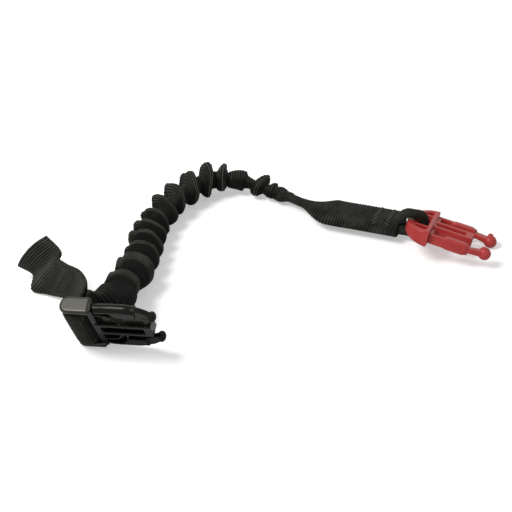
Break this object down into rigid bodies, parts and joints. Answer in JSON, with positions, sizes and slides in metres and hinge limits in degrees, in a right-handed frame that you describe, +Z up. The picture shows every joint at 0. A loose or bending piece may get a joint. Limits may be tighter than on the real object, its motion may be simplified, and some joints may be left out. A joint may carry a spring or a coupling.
{
  "type": "elastic safety tether",
  "caption": "Elastic tether of gathered tubular webbing with a strap-frame buckle plug at one end and a ring-ended buckle plug on a cord loop at the other.",
  "frame": {"origin": "on the surface the tether lies on, under the middle of its box", "axes": "+X along the tether's longest reach, from the black plug's side to the red plug; +Y towards the top of the sleeve's arch; +Z up"},
  "size_m": [0.2142, 0.1438, 0.0333],
  "materials": {
    "black_plastic": "moulded, slightly glossy",
    "red_plastic": "moulded, satin",
    "webbing": "ribbed woven nylon",
    "cord": "braided",
    "core_rubber": "matt",
    "thread": "heavy sewing thread"
  },
  "bodies": {
    "webbing": {"strap_leg": "webbing", "gathered_sleeve": "webbing", "elastic_core": "core_rubber"},
    "black_buckle": {"black_buckle_frame": "black_plastic", "strap_loop": "webbing", "strap_tail": "webbing"},
    "black_upper_clip": {"black_upper_prong": "black_plastic"},
    "black_lower_clip": {"black_lower_prong": "black_plastic"},
    "sleeve_end": {"end_sleeve": "webbing", "cord_loop": "cord", "cord_seam_1": "thread", "cord_seam_2": "thread", "core_seam": "thread"},
    "red_buckle": {"red_buckle_frame": "red_plastic"},
    "red_far_clip": {"red_far_prong": "red_plastic"},
    "red_near_clip": {"red_near_prong": "red_plastic"}
  },
  "joints": [
    {"name": "black_buckle_swing", "type": "hinge", "parent": "webbing", "child": "black_buckle", "pos_m": [-0.06871, -0.05234, 0.01977], "axis": [-0.2065, -0.41, 0.8884], "range_deg": [-18, 45], "deforming": ["strap_leg"]},
    {"name": "black_upper_flex", "type": "hinge", "parent": "black_buckle", "child": "black_upper_clip", "pos_m": [-0.06904, -0.0654, 0.02931], "axis": [-0.1671, -0.8799, -0.4449], "range_deg": [-4, 0], "stiffness_Nm_per_rad": 0.3},
    {"name": "black_lower_flex", "type": "hinge", "parent": "black_buckle", "child": "black_lower_clip", "pos_m": [-0.0633, -0.054, 0.00461], "axis": [-0.1671, -0.8799, -0.4449], "range_deg": [0, 4], "stiffness_Nm_per_rad": 0.3},
    {"name": "elastic_stretch", "type": "slide", "parent": "webbing", "child": "sleeve_end", "axis": [0.8952, -0.4457, 0], "range_m": [0, 0.12], "stiffness_N_per_m": 120, "deforming": ["gathered_sleeve", "elastic_core"]},
    {"name": "red_buckle_swing", "type": "hinge", "parent": "sleeve_end", "child": "red_buckle", "pos_m": [0.065, 0.0284, 0.00995], "axis": [-0.2498, -0.931, 0.2662], "range_deg": [-20, 60], "deforming": ["cord_loop"]},
    {"name": "red_far_flex", "type": "hinge", "parent": "red_buckle", "child": "red_far_clip", "pos_m": [0.08117, 0.03109, 0.00674], "axis": [0.247, 0.2046, 0.9472], "range_deg": [-7, 0], "stiffness_Nm_per_rad": 0.3},
    {"name": "red_near_flex", "type": "hinge", "parent": "red_buckle", "child": "red_near_clip", "pos_m": [0.07547, 0.00987, 0.01281], "axis": [0.247, 0.2046, 0.9472], "range_deg": [0, 7], "stiffness_Nm_per_rad": 0.3}
  ]
}
